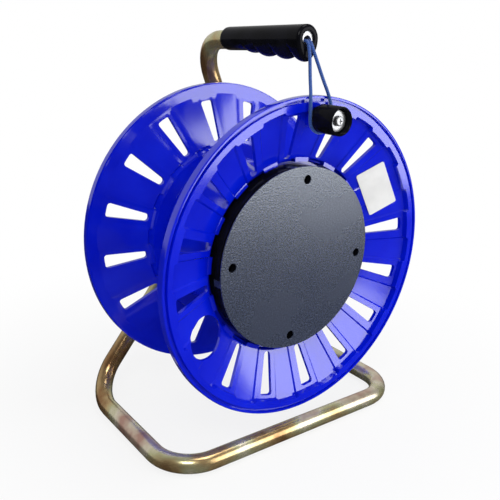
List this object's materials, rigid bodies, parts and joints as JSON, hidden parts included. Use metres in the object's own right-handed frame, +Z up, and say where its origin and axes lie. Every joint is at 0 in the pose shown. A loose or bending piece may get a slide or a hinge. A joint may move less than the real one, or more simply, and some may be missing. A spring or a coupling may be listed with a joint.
{
  "type": "cable reel dispenser",
  "caption": "Hand-wound cable reel: slotted blue flanges on a ribbed barrel turn on an axle in a bent tube stand with a grip, a crank knob and a lock loop.",
  "frame": {"origin": "on the floor, under the middle of the outline", "axes": "+X to the right as seen from the cover plate's side, +Y from the cover plate along the drum's axle to the back, +Z up"},
  "size_m": [0.3252, 0.2442, 0.4188],
  "materials": {
    "yellow_zinc": "yellow-passivated zinc plating, satin, iridescent",
    "zinc_steel": "bright zinc-plated steel",
    "black_steel": "black oxide screws",
    "blue_plastic": "glossy moulded ultramarine",
    "black_plastic": "glossy moulded black",
    "grey_plastic": "fine-grained dark slate grey",
    "nylon": "natural nylon bearing bushes",
    "blue_cord": "braided blue cord"
  },
  "bodies": {
    "frame": {"stand_tube": "yellow_zinc", "axle_plate": "yellow_zinc", "axle": "zinc_steel", "thrust_washer": "zinc_steel", "rear_washer": "zinc_steel", "rear_nut": "zinc_steel", "retaining_washer": "zinc_steel", "retaining_nut": "zinc_steel", "handle_grip": "black_plastic", "handle_plug": "zinc_steel", "lock_loop": "blue_cord"},
    "drum": {"front_flange": "blue_plastic", "rear_flange": "blue_plastic", "barrel": "blue_plastic", "front_bush": "nylon", "rear_bush": "nylon", "housing": "black_plastic", "cover_plate": "grey_plastic", "cover_screw_1": "black_steel", "cover_screw_2": "black_steel", "cover_screw_3": "black_steel", "cover_screw_4": "black_steel", "front_flange_screw_1": "zinc_steel", "front_flange_screw_2": "zinc_steel", "front_flange_screw_3": "zinc_steel", "front_flange_screw_4": "zinc_steel", "rear_flange_screw_1": "zinc_steel", "rear_flange_screw_2": "zinc_steel", "rear_flange_screw_3": "zinc_steel", "rear_flange_screw_4": "zinc_steel", "knob_pin": "zinc_steel", "knob_washer": "zinc_steel", "knob_nut": "zinc_steel"},
    "knob": {"crank_knob": "black_plastic"}
  },
  "joints": [
    {"name": "drum_spin", "type": "hinge", "parent": "frame", "child": "drum", "pos_m": [-0.00262, -0.00985, 0.19743], "axis": [0, 1, 0], "continuous": true},
    {"name": "knob_spin", "type": "hinge", "parent": "drum", "child": "knob", "pos_m": [0.00227, -0.10835, 0.33734], "axis": [0, 1, 0], "continuous": true}
  ]
}
